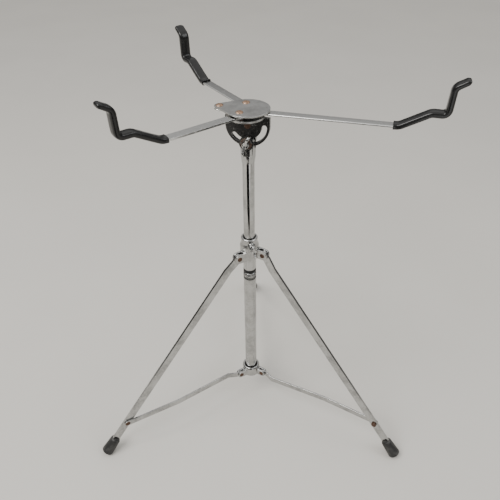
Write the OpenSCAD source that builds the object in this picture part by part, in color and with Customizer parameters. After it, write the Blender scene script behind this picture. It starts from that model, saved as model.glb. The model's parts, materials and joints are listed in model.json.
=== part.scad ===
// Folding three-armed drum stand: tripod with braces, sliding column, slotted tilter and arm basket.
// +Z is up. The origin is on the floor, on the axis of the column. The rear leg points along +Y.

/* [Column] */
// Outside diameter of the lower tube
column_d = 19; // [17:0.5:25]
// Wall thickness of both tubes
tube_wall = 1.2; // [1:0.1:1.5]
// Play between the upper tube and the lower tube, on the radius
tube_play = 0.3; // [0.2:0.05:0.4]
// Length of the upper tube
upper_tube_len = 330; // [260:5:380]
// Height of the tilter's pivot above the floor
tilter_h = 511.5; // [480:0.5:600]
// Width of the knurled grip band
knurl_h = 19.5; // [10:0.5:30]

/* [Tripod] */
// Height of the leg pivots above the floor
hub_h = 313; // [295:1:335]
// Angle of the open legs below the horizontal
leg_angle = 51.2; // [47:0.1:56]
// Width of a leg strip
leg_w = 12; // [10:0.5:14]
// Thickness of a leg strip
leg_t = 3.5; // [2.5:0.25:4]
// Distance from a leg's brace rivet to the end of its foot
brace_from_foot = 66; // [54:1:80]
// Height of the brace pivots on the sliding hub
slide_hub_h = 52; // [50:1:60]
// Width of a brace strip
brace_w = 10; // [8:0.5:11]
// Thickness of a brace strip
brace_t = 2.5; // [2:0.1:2.8]
// Length of a rubber foot
foot_len = 29; // [24:1:34]
// Radius of a rubber foot at its tip
foot_tip_r = 9.4; // [8.5:0.1:11]

/* [Basket] */
// Reach of the fixed arm, from the column's axis to its seat
fixed_reach = 224.5; // [200:0.5:260]
// Reach of a swinging arm, from its pivot to its seat
swing_reach = 151.5; // [130:0.5:180]
// Width of an arm strip
arm_w = 12.5; // [10:0.5:13.5]
// Thickness of an arm strip
arm_t = 2.5; // [2:0.1:3]
// Wall of the soft sleeves, across their thickness
sleeve_wall = 2.2; // [1.2:0.1:2.6]
// Radius of the top plate's round end
plate_r = 27.7; // [26:0.1:32]
// Distance from one swing pivot to the other
pivot_gap = 31.2; // [30:0.2:34]
// Bearing of the fixed arm, from +X
basket_turn = -13.2; // [-40:0.1:40]
// Swing of the left arm away from the plate's tail
left_swing = 51; // [0:1:170]
// Swing of the rear arm away from the plate's tail
rear_swing = 42; // [0:1:170]

/* [Fits] */
// Play around a rivet or a bolt, on the radius
pin_play = 0.05; // [0.03:0.01:0.1]
// Play on each side of a strip in its fork
side_play = 0.25; // [0.2:0.05:0.4]
// Gap between a brace and the face of its leg
lap_gap = 0.3; // [0.3:0.05:0.5]

/* [Hidden] */
$fn = 96;

// Tubes
column_r = column_d / 2;
upper_r = column_r - tube_wall - tube_play;
column_bottom = slide_hub_h - 6;
column_top = hub_h + 17;
knurl_z = hub_h - 48;

// Upper hub
hub_r = column_r + 4.3;
collar_r = column_r + 2.5;
collar_top = hub_h + 28.5;
bush_bore_r = column_r - 0.25;
bush_h = collar_top - column_top - 2.3;
leg_pivot_r = column_r + 11.5;
leg_pivot_y = 5;
hub_ear_r = 7.5;
ear_t = 3;
rivet_r = 2.2;
head_r = 3.6;
head_h = 1.4;
screw_h = hub_h + 17;
screw_bearing = -73;
screw_r = 3;
screw_tip = bush_bore_r + 0.1;
boss_r = 6.2;
boss_end = hub_r + 3.5;

// Legs, measured along the leg from its pivot
leg_y = 2;
foot_top_r = foot_tip_r - 2;
foot_flat = 1.6;
foot_end = (hub_h - foot_tip_r * cos(leg_angle) + foot_flat) / sin(leg_angle);
brace_at = foot_end - brace_from_foot;
leg_end = foot_end - 6;
leg_joggle = [[hub_ear_r + 1.5, leg_pivot_y], [hub_ear_r + 19, leg_y]];

// Braces: the rivet on the leg, and the pivot on the sliding hub
brace_end_r = leg_pivot_r + brace_at * cos(leg_angle);
brace_end_h = hub_h - brace_at * sin(leg_angle);
slide_pivot_r = column_r + 12.5;
slide_pivot_y = 2;
brace_y = leg_y + (leg_t + brace_t) / 2 + lap_gap;
brace_len = norm([brace_end_r - slide_pivot_r, brace_end_h - slide_hub_h]);
brace_angle = -atan2(brace_end_h - slide_hub_h, brace_end_r - slide_pivot_r);
slide_ear_r = 6.2;
brace_crank = [[slide_ear_r + 1.5, slide_pivot_y], [slide_ear_r + 15.5, slide_pivot_y - 5.6], [brace_len - 88, brace_y]];
slide_r = column_r + 5;
slide_below = 6.3;
slide_above = 13;

// Tilter: heights are measured from the pivot
slot_r = 21.5;
bolt_h = tilter_h - slot_r;
tilter_r = 28.3;
tilter_t = 5;
cheek_gap = tilter_t + 0.8;
cheek_out = 9;
cheek_r = 9.5;
head_bottom = tilter_h - 58.5;
slot_bottom = tilter_h - tilter_r - 1.2;
slot_from = 3.5;
slot_to = 142;

// Basket: a stack of plates, arms and washers, measured down from the top
plate_top = tilter_h + 21.8;
plate_t = 2;
washer_t = 1.2;
low_washer_t = 2.3;
washer_play = 0.1;
low_plate_t = 2.5;
arm_z = plate_top - plate_t - washer_t - arm_t / 2;
low_plate_top = arm_z - arm_t / 2 - low_washer_t;
low_plate_bottom = low_plate_top - low_plate_t;
low_plate_r = 24;
low_plate_x = -2;
pivot_x = -6;
tail_x = -35.5;
tail_r = 6.4;
sleeve_side = 0.6;
seat_rise = 17.9;
upright_h = 30.7;
sleeve_back = 53;

// Colours
chrome = "silver";
dark_chrome = "dimgray";
rubber = [0.12, 0.12, 0.12];
copper = "peru";
rust = "saddlebrown";

// ---- Outlines ----

function unit(v) = v / norm(v);
function left_of(v) = [-v[1], v[0]];

// Points along a path through given corners, with each inner corner rounded to its radius
function corner_arc(a, b, c, r, n) =
    let (u = unit(a - b), v = unit(c - b), half = acos(u * v) / 2,
         far = r / tan(half), centre = b + unit(u + v) * r / sin(half),
         p = b + u * far, q = b + v * far,
         start = atan2(p[1] - centre[1], p[0] - centre[0]),
         raw = atan2(q[1] - centre[1], q[0] - centre[0]) - start,
         sweep = raw > 180 ? raw - 360 : (raw < -180 ? raw + 360 : raw))
    [for (i = [0:n]) centre + r * [cos(start + sweep * i / n), sin(start + sweep * i / n)]];

function rounded_path(corners, radii, n = 8) = [
    corners[0],
    for (i = [1:len(corners) - 2])
        each corner_arc(corners[i - 1], corners[i], corners[i + 1], radii[i - 1], n),
    corners[len(corners) - 1]
];

function path_normal(path, i) =
    let (last = len(path) - 1)
    left_of(unit(path[min(i + 1, last)] - path[max(i - 1, 0)]));

// A band of even thickness that follows a path, with a square or a round far end
module band(path, t, round_end = false) {
    last = len(path) - 1;
    n = path_normal(path, last);
    ahead = [n[1], -n[0]];
    cap = round_end ? [for (a = [75:-15:-75]) path[last] + (ahead * cos(a) + n * sin(a)) * t / 2] : [];
    polygon(concat(
        [for (i = [0:last]) path[i] + path_normal(path, i) * t / 2],
        cap,
        [for (i = [last:-1:0]) path[i] - path_normal(path, i) * t / 2]
    ));
}

// Two circles on the X axis, joined by their outer tangents
module pear(x1, r1, x2, r2) {
    a = acos((r1 - r2) / (x1 - x2));
    translate([x1, 0]) circle(r1);
    translate([x2, 0]) circle(r2);
    polygon([for (s = [1, -1], c = s > 0 ? [[x1, r1], [x2, r2]] : [[x2, r2], [x1, r1]])
        [c[0] - c[1] * cos(a), s * c[1] * sin(a)]]);
}

// ---- Frames ----

// Local frame of leg k: X is outwards, Y is to the left of it. 0 is the rear, 1 the left, 2 the right
module at_leg(k) {
    rotate([0, 0, 90 + 120 * k]) children();
}

// Local frame of a leg strip: X runs along the leg from its pivot
module along_leg(k) {
    at_leg(k) translate([leg_pivot_r, 0, hub_h]) rotate([0, leg_angle, 0]) children();
}

module along_brace(k) {
    at_leg(k) translate([slide_pivot_r, 0, slide_hub_h]) rotate([0, brace_angle, 0]) children();
}

// Local frame of the basket: X runs along the fixed arm, from the column's axis
module in_basket() {
    rotate([0, 0, basket_turn]) children();
}

// Local frame of a swinging arm: X runs along the arm, from its pivot
module in_swing(side, swing) {
    in_basket() translate([pivot_x, side * pivot_gap / 2, 0])
        rotate([0, 0, 180 - side * swing]) children();
}

// A cylinder along Y, from y1 to y2
module y_rod(r, y1, y2) {
    translate([0, y1, 0]) rotate([-90, 0, 0]) cylinder(r = r, h = y2 - y1);
}

// A low domed rivet head on the XY plane, pointing up
module rivet_head(r, h) {
    ball = (r * r + h * h) / (2 * h);
    intersection() {
        translate([0, 0, h - ball]) sphere(ball);
        cylinder(r = r, h = h);
    }
}

// A rivet along Y with a head at each end
module y_rivet(shank, head, y1, y2) {
    y_rod(shank, y1, y2);
    translate([0, y2, 0]) rotate([-90, 0, 0]) rivet_head(head, head_h);
    translate([0, y1, 0]) rotate([90, 0, 0]) rivet_head(head, head_h);
}

// A strip along X that steps sideways at its bends, with a round end at its pivot
module cranked_strip(w, t, bends, length) {
    last = len(bends) - 1;
    side = concat([[0, bends[0][1]]], bends, [[length, bends[last][1]]]);
    translate([0, 0, -w / 2]) linear_extrude(w)
        polygon(concat(
            [for (p = side) [p[0], p[1] + t / 2]],
            [for (i = [len(side) - 1:-1:0]) [side[i][0], side[i][1] - t / 2]]
        ));
    y_rod(w / 2, bends[0][1] - t / 2, bends[0][1] + t / 2);
}

// A wing screw along +Z: shank from 0 down, hub and two wings above
module wing_screw(shank_len, hub_h, hub_r, span, wing_w, turn) {
    translate([0, 0, -shank_len]) cylinder(r = screw_r, h = shank_len + 0.01);
    cylinder(r1 = hub_r, r2 = hub_r * 0.82, h = hub_h);
    wing_t = 3;
    rotate([0, 0, turn]) for (s = [0, 180]) rotate([0, 0, s])
        translate([0, wing_t / 2, 0]) rotate([90, 0, 0]) linear_extrude(wing_t) {
            translate([span / 2 - wing_w / 2, hub_h - 1]) circle(wing_w / 2);
            polygon([[0, 1], [hub_r, 1], [span / 2 - wing_w * 0.2, hub_h - 1 - wing_w * 0.4],
                [span / 2 - wing_w * 0.62, hub_h - 1 + wing_w * 0.48], [0, hub_h]]);
        }
}

// ---- Column ----

module lower_tube() {
    color(chrome) difference() {
        translate([0, 0, column_bottom]) cylinder(r = column_r, h = column_top - column_bottom);
        translate([0, 0, column_bottom - 1])
            cylinder(r = column_r - tube_wall, h = column_top - column_bottom + 2);
        translate([0, 0, knurl_z]) difference() {
            cylinder(r = column_r + 1, h = knurl_h);
            cylinder(r = column_r - 0.5, h = knurl_h);
        }
        // Notch that the height screw passes through
        rotate([0, 0, screw_bearing]) translate([0, 0, screw_h]) rotate([0, 90, 0])
            cylinder(r = screw_r + side_play, h = column_r + 1);
    }
}

module knurled_band() {
    color(dark_chrome) translate([0, 0, knurl_z]) difference() {
        cylinder(r = column_r + 0.1, h = knurl_h);
        translate([0, 0, -1]) cylinder(r = column_r - 0.5, h = knurl_h + 2);
    }
}

module tube_end_plug() {
    plug_h = 12;
    color(rubber) {
        translate([0, 0, column_bottom]) cylinder(r = column_r - tube_wall, h = plug_h);
        translate([0, 0, column_bottom - 2.5]) cylinder(r = column_r, h = 2.5);
    }
}

// A fork for one strip: two ears with a round outer end, to be joined to a hub
module fork(pivot_r, y, ear_r, gap, root_r) {
    wide = gap + 2 * ear_t;
    difference() {
        union() {
            translate([pivot_r, 0, 0]) y_rod(ear_r, y - wide / 2, y + wide / 2);
            translate([root_r, y - wide / 2, -ear_r]) cube([pivot_r - root_r, wide, 2 * ear_r]);
        }
        translate([pivot_r - ear_r + 0.6, y - gap / 2, -ear_r - 1])
            cube([2 * ear_r + 2, gap, 2 * ear_r + 2]);
        translate([pivot_r, 0, 0]) y_rod(rivet_r, y - wide, y + wide);
    }
}

module upper_hub() {
    low = hub_h - 7;
    color(chrome) difference() {
        union() {
            rotate_extrude() polygon([
                [0, low], [hub_r - 1, low], [hub_r, low + 1], [hub_r, hub_h + 15],
                [collar_r, hub_h + 20], [collar_r, collar_top - 1], [collar_r - 1, collar_top], [0, collar_top]
            ]);
            for (k = [0:2]) at_leg(k) translate([0, 0, hub_h])
                fork(leg_pivot_r, leg_pivot_y, hub_ear_r, leg_t + 2 * side_play, column_r);
            rotate([0, 0, screw_bearing]) translate([0, 0, screw_h]) rotate([0, 90, 0])
                cylinder(r = boss_r, h = boss_end);
        }
        translate([0, 0, low - 1]) cylinder(r = column_r, h = column_top - low + 1);
        translate([0, 0, column_top - 0.01]) cylinder(r = bush_bore_r, h = collar_top);
        rotate([0, 0, screw_bearing]) translate([0, 0, screw_h]) rotate([0, 90, 0])
            cylinder(r = screw_r + pin_play, h = boss_end + 1);
    }
}

module hub_rivets() {
    half = leg_t / 2 + side_play + ear_t;
    color(rust) for (k = [0:2]) at_leg(k) translate([leg_pivot_r, leg_pivot_y, hub_h])
        y_rivet(rivet_r, head_r, -half, half);
}

module height_wing_screw() {
    color(chrome) rotate([0, 0, screw_bearing]) translate([boss_end + 0.3, 0, screw_h])
        rotate([0, 90, 0]) wing_screw(boss_end + 0.3 - screw_tip, 7, 4.6, 23, 9, 8);
}

// A soft bush with a slit, which the wing screw closes on the upper tube
module split_bush() {
    color("ivory") translate([0, 0, column_top + 0.3]) difference() {
        cylinder(r = bush_bore_r - pin_play, h = bush_h);
        translate([0, 0, -1]) cylinder(r = upper_r + pin_play, h = bush_h + 2);
        rotate([0, 0, 60]) translate([0, -0.7, -1]) cube([column_r, 1.4, bush_h + 2]);
    }
}

module upper_tube() {
    color(chrome) translate([0, 0, head_bottom - upper_tube_len]) difference() {
        cylinder(r = upper_r, h = upper_tube_len + 12);
        translate([0, 0, -1]) cylinder(r = upper_r - tube_wall, h = upper_tube_len + 14);
    }
}

// ---- Tripod ----

module leg(k) {
    color(chrome) along_leg(k) difference() {
        cranked_strip(leg_w, leg_t, leg_joggle, leg_end);
        y_rod(rivet_r + pin_play, leg_pivot_y - leg_t, leg_pivot_y + leg_t);
        translate([brace_at, 0, 0]) y_rod(rivet_r, leg_y - leg_t, leg_y + leg_t);
    }
}

module rear_leg() { leg(0); }
module left_leg() { leg(1); }
module right_leg() { leg(2); }

// The half of the brace rivet that stays in the leg, with its nut
module leg_stud(k) {
    color(dark_chrome) along_leg(k) translate([brace_at, leg_y, 0]) {
        y_rod(rivet_r, -leg_t / 2, leg_t / 2);
        y_rod(3.9, -leg_t / 2 - 2.4, -leg_t / 2);
        translate([0, -leg_t / 2 - 2.4, 0]) rotate([90, 0, 0]) rivet_head(3.2, 1.4);
    }
}

module rear_leg_stud() { leg_stud(0); }
module left_leg_stud() { leg_stud(1); }
module right_leg_stud() { leg_stud(2); }

module foot(k) {
    edge = 2;
    color(rubber) difference() {
        along_leg(k) translate([foot_end, leg_y, 0]) rotate([0, -90, 0]) rotate_extrude() polygon(concat(
            [[0, 0]],
            [for (a = [-90:15:0]) [foot_tip_r - edge + edge * cos(a), edge + edge * sin(a)]],
            [[foot_top_r + 0.6, foot_len - 3], [foot_top_r, foot_len - 1.2], [foot_top_r - 0.8, foot_len],
             [0, foot_len]]
        ));
        along_leg(k) translate([leg_end - foot_len, leg_y - leg_t / 2, -leg_w / 2])
            cube([foot_len, leg_t, leg_w]);
        translate([-500, -500, -50]) cube([1000, 1000, 50]);
    }
}

module rear_foot() { foot(0); }
module left_foot() { foot(1); }
module right_foot() { foot(2); }

module sliding_hub() {
    low = -slide_below;
    high = slide_above;
    guide_h = 9;
    color(chrome) translate([0, 0, slide_hub_h]) difference() {
        union() {
            rotate_extrude() polygon([
                [0, low], [slide_r - 1, low], [slide_r, low + 1], [slide_r, high - 2],
                [slide_r - 1.5, high], [0, high]
            ]);
            for (k = [0:2]) at_leg(k)
                fork(slide_pivot_r, slide_pivot_y, slide_ear_r, brace_t + 2 * side_play, column_r + 1);
        }
        translate([0, 0, low - 1]) cylinder(r = column_r + pin_play, h = high - low + 2);
        translate([0, 0, low + guide_h]) cylinder(r = column_r + 1.6, h = high - low);
    }
}

module sliding_hub_rivets() {
    half = brace_t / 2 + side_play + ear_t;
    color(rust) for (k = [0:2]) at_leg(k) translate([slide_pivot_r, slide_pivot_y, slide_hub_h])
        y_rivet(rivet_r, head_r - 0.4, -half, half);
}

module brace(k) {
    color(chrome) along_brace(k) difference() {
        union() {
            cranked_strip(brace_w, brace_t, brace_crank, brace_len);
            translate([brace_len, 0, 0]) y_rod(brace_w / 2, brace_y - brace_t / 2, brace_y + brace_t / 2);
        }
        y_rod(rivet_r + pin_play, slide_pivot_y - brace_t, slide_pivot_y + brace_t);
        translate([brace_len, 0, 0]) y_rod(rivet_r, brace_y - brace_t, brace_y + brace_t);
    }
}

module rear_brace() { brace(0); }
module left_brace() { brace(1); }
module right_brace() { brace(2); }

// The half of the rivet that stays in the brace, with its head
module brace_rivet(k) {
    color(rust) along_brace(k) translate([brace_len, brace_y, 0]) {
        y_rod(rivet_r, -brace_t / 2, brace_t / 2);
        translate([0, brace_t / 2, 0]) rotate([-90, 0, 0]) rivet_head(4.2, head_h);
    }
}

module rear_brace_rivet() { brace_rivet(0); }
module left_brace_rivet() { brace_rivet(1); }
module right_brace_rivet() { brace_rivet(2); }

// ---- Tilter ----

module tilter_head() {
    neck = upper_r + 0.5;
    cheek_t = cheek_out - cheek_gap / 2;
    color(chrome) in_basket() difference() {
        union() {
            rotate_extrude() polygon([
                [0, head_bottom + 8], [neck, head_bottom + 8], [neck + 0.2, head_bottom + 10],
                [neck + 1, head_bottom + 16], [neck + 1.3, head_bottom + 20], [neck + 1.4, head_bottom + 25],
                [neck + 1.4, head_bottom + 30], [neck + 0.6, head_bottom + 34], [0, head_bottom + 34]
            ]);
            // Short front cheek and tall back cheek
            translate([0, -cheek_out, bolt_h]) y_rod(cheek_r, 0, cheek_t);
            translate([0, cheek_gap / 2, bolt_h]) y_rod(cheek_r, 0, cheek_t);
            translate([0, cheek_gap / 2, tilter_h]) y_rod(7, 0, cheek_t - 1.5);
            translate([-7, cheek_gap / 2, bolt_h]) cube([14, cheek_t - 1.5, slot_r]);
        }
        translate([-20, -cheek_gap / 2, slot_bottom]) cube([40, cheek_gap, 60]);
        translate([0, 0, bolt_h]) y_rod(screw_r + pin_play, -20, 20);
        translate([0, 0, tilter_h]) y_rod(rivet_r + pin_play, 0, 20);
        // Flat seat for the washer on the front cheek
        translate([-20, -cheek_out - 8, bolt_h - 18]) cube([40, 8, 60]);
        translate([0, 0, head_bottom - 1]) cylinder(r = upper_r, h = 13);
    }
}

module tilter_washer() {
    color(rust) in_basket() translate([0, 0, bolt_h]) difference() {
        y_rod(7.4, -cheek_out - 1.3, -cheek_out);
        y_rod(screw_r + pin_play, -20, 0);
    }
}

module tilter_wing_screw() {
    color(chrome) in_basket() translate([0, -cheek_out - 1.5, bolt_h]) rotate([90, 0, 0])
        wing_screw(2 * cheek_out + 1.5, 5.5, 5, 30, 10, 73);
}

// Half-round plate with an arc slot around its pivot
module tilter_plate() {
    color(rubber) in_basket() translate([0, 0, tilter_h]) difference() {
        translate([0, tilter_t / 2, 0]) rotate([90, 0, 0]) linear_extrude(tilter_t) difference() {
            half_round(tilter_r, low_plate_bottom - tilter_h);
            slot(slot_r, screw_r + 0.25, slot_from, slot_to);
        }
        y_rod(rivet_r, -10, 10);
    }
}

module half_round(r, top) {
    polygon(concat([[r, top], [-r, top]], [for (a = [180:5:360]) r * [cos(a), sin(a)]]));
}

// Arc slot with round ends; its angles run clockwise from +X
module slot(r, half, from, to) {
    step = (to - from) / 36;
    polygon(concat(
        [for (i = [0:36]) let (a = -from - i * step) (r + half) * [cos(a), sin(a)]],
        [for (b = [15:15:165]) slot_end(r, half, -to, -b)],
        [for (i = [36:-1:0]) let (a = -from - i * step) (r - half) * [cos(a), sin(a)]],
        [for (b = [15:15:165]) slot_end(r, half, -from, 180 - b)]
    ));
}

function slot_end(r, half, a, b) = r * [cos(a), sin(a)] + half * [cos(a + b), sin(a + b)];

module tilter_pivot_rivet() {
    back = cheek_out - 1.5 + washer_play;
    color(rust) in_basket() translate([0, 0, tilter_h]) y_rivet(rivet_r, 4.4, -tilter_t / 2, back);
}

// ---- Basket ----

module lower_plate() {
    color(chrome) in_basket() difference() {
        translate([low_plate_x, 0, low_plate_bottom]) cylinder(r = low_plate_r, h = low_plate_t);
        pivot_holes(rivet_r);
    }
}

module pivot_holes(r) {
    for (s = [-1, 1]) translate([pivot_x, s * pivot_gap / 2, low_plate_bottom - 5]) cylinder(r = r, h = 30);
}

module tail_hole(r) {
    translate([tail_x, 0, low_plate_bottom - 5]) cylinder(r = r, h = 30);
}

module top_plate() {
    color(chrome) in_basket() difference() {
        translate([0, 0, plate_top - plate_t]) linear_extrude(plate_t) pear(0, plate_r, tail_x, tail_r);
        pivot_holes(rivet_r);
        tail_hole(rivet_r);
    }
}

module tail_spacer() {
    color(chrome) in_basket() difference() {
        translate([tail_x, 0, arm_z + arm_t / 2]) cylinder(r = tail_r - 0.6, h = washer_t);
        tail_hole(rivet_r);
    }
}

// One long rivet through the whole stack at each swing pivot, and a short one in the tail
module basket_rivets() {
    color(copper) in_basket() {
        for (s = [-1, 1]) translate([pivot_x, s * pivot_gap / 2, 0])
            stack_rivet(low_plate_bottom);
        translate([tail_x, 0, 0]) stack_rivet(arm_z - arm_t / 2);
    }
}

module stack_rivet(bottom) {
    translate([0, 0, bottom]) cylinder(r = rivet_r, h = plate_top - bottom);
    translate([0, 0, plate_top]) rivet_head(4.8, 1.8);
    translate([0, 0, bottom]) rotate([180, 0, 0]) rivet_head(4.2, 1.6);
}

// Centre line of an arm: level from its start, a rise to a low crest, the seat, the upright and the tip
function arm_path(start, reach) =
    let (x = reach + arm_t / 2 + sleeve_wall, top = seat_rise + upright_h)
    rounded_path(
        [[start, 0], [reach - 46.5, 0], [reach - 14, seat_rise + 0.3], [x, seat_rise], [x + 0.9, top], [x + 12.6, top + 7.2]],
        [14, 9, 5.5, 6]);

module arm_strip(start, reach) {
    translate([0, arm_w / 2, arm_z]) rotate([90, 0, 0]) linear_extrude(arm_w)
        band(arm_path(start, reach), arm_t);
}

// Soft sleeve over the outer part of an arm, open at its inner end
module arm_sleeve(reach) {
    outer_w = arm_w + 2 * sleeve_side;
    outer_t = arm_t + 2 * sleeve_wall;
    color(rubber) translate([0, 0, arm_z]) difference() {
        translate([0, outer_w / 2, 0]) rotate([90, 0, 0]) linear_extrude(outer_w)
            band(arm_path(reach - sleeve_back, reach), outer_t, true);
        translate([0, arm_w / 2, 0]) rotate([90, 0, 0]) linear_extrude(arm_w)
            band(arm_path(0, reach), arm_t);
    }
}

module fixed_arm() {
    color(chrome) in_basket() difference() {
        union() {
            arm_strip(tail_x, fixed_reach);
            translate([tail_x, 0, arm_z - arm_t / 2]) cylinder(r = tail_r, h = arm_t);
        }
        tail_hole(rivet_r);
    }
}

module fixed_sleeve() {
    in_basket() arm_sleeve(fixed_reach);
}

module swing_arm(side, swing) {
    color(chrome) in_swing(side, swing) difference() {
        union() {
            arm_strip(0, swing_reach);
            translate([0, 0, arm_z - arm_t / 2]) cylinder(r = arm_w / 2, h = arm_t);
        }
        translate([0, 0, arm_z - 10]) cylinder(r = rivet_r + pin_play, h = 20);
    }
}

// Thin upper washer and thick lower washer on one swing pivot
module pivot_washers(side) {
    color(rust) in_basket() translate([pivot_x, side * pivot_gap / 2, 0]) {
        stack_washer(arm_z + arm_t / 2 + washer_play, washer_t - washer_play);
        stack_washer(low_plate_top, low_washer_t - washer_play);
    }
}

module stack_washer(z, h) {
    translate([0, 0, z]) difference() {
        cylinder(r = 6.4, h = h);
        translate([0, 0, -1]) cylinder(r = rivet_r, h = h + 2);
    }
}

module left_arm() { swing_arm(-1, left_swing); }
module left_sleeve() { in_swing(-1, left_swing) arm_sleeve(swing_reach); }
module left_washers() { pivot_washers(-1); }
module rear_arm() { swing_arm(1, rear_swing); }
module rear_sleeve() { in_swing(1, rear_swing) arm_sleeve(swing_reach); }
module rear_washers() { pivot_washers(1); }

lower_tube();
knurled_band();
tube_end_plug();
upper_hub();
hub_rivets();
height_wing_screw();
rear_leg();
left_leg();
right_leg();
rear_foot();
left_foot();
right_foot();
rear_leg_stud();
left_leg_stud();
right_leg_stud();
sliding_hub();
sliding_hub_rivets();
rear_brace();
left_brace();
right_brace();
rear_brace_rivet();
left_brace_rivet();
right_brace_rivet();
split_bush();
upper_tube();
tilter_head();
tilter_washer();
tilter_wing_screw();
tilter_plate();
tilter_pivot_rivet();
lower_plate();
top_plate();
tail_spacer();
basket_rivets();
fixed_arm();
fixed_sleeve();
left_arm();
left_sleeve();
left_washers();
rear_arm();
rear_sleeve();
rear_washers();
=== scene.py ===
"""Looks for a folding three-armed drum stand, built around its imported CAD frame."""

import json
import math

import bmesh
import bpy
from bpy.props import FloatProperty, FloatVectorProperty, IntProperty, PointerProperty
from bpy.types import Operator, Panel, PropertyGroup
from mathutils import Matrix, Vector, noise

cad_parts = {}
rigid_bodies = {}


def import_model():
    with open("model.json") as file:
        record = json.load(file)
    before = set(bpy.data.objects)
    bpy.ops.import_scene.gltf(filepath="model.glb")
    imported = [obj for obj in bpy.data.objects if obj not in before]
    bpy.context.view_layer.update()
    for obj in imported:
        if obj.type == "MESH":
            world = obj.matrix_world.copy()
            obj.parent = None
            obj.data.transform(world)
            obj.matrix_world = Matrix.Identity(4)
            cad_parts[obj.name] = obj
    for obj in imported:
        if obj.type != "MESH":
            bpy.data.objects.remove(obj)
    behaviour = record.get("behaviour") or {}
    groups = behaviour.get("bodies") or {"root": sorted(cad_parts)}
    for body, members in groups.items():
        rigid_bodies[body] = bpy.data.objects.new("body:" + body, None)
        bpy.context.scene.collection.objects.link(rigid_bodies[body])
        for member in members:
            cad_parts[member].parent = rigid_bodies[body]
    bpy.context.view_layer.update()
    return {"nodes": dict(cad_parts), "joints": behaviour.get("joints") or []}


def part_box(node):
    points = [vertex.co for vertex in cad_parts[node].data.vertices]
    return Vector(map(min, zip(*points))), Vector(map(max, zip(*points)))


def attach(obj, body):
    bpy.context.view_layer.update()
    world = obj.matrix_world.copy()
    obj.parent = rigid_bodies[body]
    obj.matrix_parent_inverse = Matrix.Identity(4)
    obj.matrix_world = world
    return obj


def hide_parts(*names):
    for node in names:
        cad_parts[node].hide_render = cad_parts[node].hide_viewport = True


bl_info = {
    "name": "Snare Drum Stand",
    "version": (1, 0, 0),
    "blender": (4, 5, 0),
    "location": "View3D > Sidebar > Drum Stand",
    "description": "Builds the finished looks of a folding snare drum stand",
    "category": "Object",
}

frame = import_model()
JOINTS = {joint["name"]: joint for joint in frame["joints"]}
MM = 0.001
LEG_SIDES = ("rear", "left", "right")
TILT_AXIS = Vector(JOINTS["basket_tilt"]["axis"])
BASKET_TURN = math.atan2(-TILT_AXIS.x, TILT_AXIS.y)


# ---------------------------------------------------------------- user settings


class StandSizes(PropertyGroup):
    """Sizes of the finished surfaces."""

    edge_round: FloatProperty(name="Edge rounding", default=0.4 * MM, min=0.0, unit="LENGTH",
                              description="Radius of the broken edges on strips and plates")
    tube_edge: FloatProperty(name="Tube edge", description="Rounding of the tubes' cut ends",
                             default=0.25 * MM, min=0.0, unit="LENGTH")
    casting_grain: FloatProperty(name="Casting grain", description="Mesh size of the soft cast pieces",
                                 default=0.5 * MM, min=0.3 * MM, unit="LENGTH")
    sleeve_width: FloatProperty(name="Sleeve width", description="Width of a vinyl sleeve",
                                default=13.7 * MM, unit="LENGTH")
    sleeve_thickness: FloatProperty(name="Sleeve thickness", description="Thickness of a vinyl sleeve",
                                    default=7.8 * MM, unit="LENGTH")
    rivet_head: FloatProperty(name="Rivet head", description="Radius of the copper rivet heads",
                              default=4.8 * MM, unit="LENGTH")
    rivet_dome: FloatProperty(name="Rivet dome", description="Height of the copper rivet heads",
                              default=1.7 * MM, unit="LENGTH")
    knurl_rows: IntProperty(name="Knurl rows", description="Rows of teeth in the grip band",
                            default=6, min=2)
    knurl_around: IntProperty(name="Knurl teeth", description="Teeth in one row of the grip band",
                              default=24, min=8)


class StandColours(PropertyGroup):
    """Colours of the finishes."""

    chrome: FloatVectorProperty(name="Chrome", description="Clean chrome plating", subtype="COLOR",
                                default=(0.60, 0.60, 0.59), min=0.0, max=1.0)
    chrome_dull: FloatVectorProperty(name="Dull chrome", description="Hazy old chrome plating",
                                     subtype="COLOR", default=(0.33, 0.33, 0.325), min=0.0, max=1.0)
    rust: FloatVectorProperty(name="Rust", description="Rust on bare steel", subtype="COLOR",
                              default=(0.085, 0.042, 0.024), min=0.0, max=1.0)
    copper: FloatVectorProperty(name="Copper", description="Copper rivet heads", subtype="COLOR",
                                default=(0.52, 0.33, 0.22), min=0.0, max=1.0)
    vinyl: FloatVectorProperty(name="Vinyl", description="Dipped vinyl sleeves", subtype="COLOR",
                               default=(0.008, 0.008, 0.008), min=0.0, max=1.0)
    rubber: FloatVectorProperty(name="Rubber", description="Rubber feet", subtype="COLOR",
                                default=(0.016, 0.016, 0.016), min=0.0, max=1.0)
    paint: FloatVectorProperty(name="Black finish", description="Black finish of the slotted tilter plate",
                               subtype="COLOR", default=(0.014, 0.014, 0.015), min=0.0, max=1.0)
    floor: FloatVectorProperty(name="Floor", description="Plain pale floor", subtype="COLOR",
                               default=(0.60, 0.58, 0.54), min=0.0, max=1.0)


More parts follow.
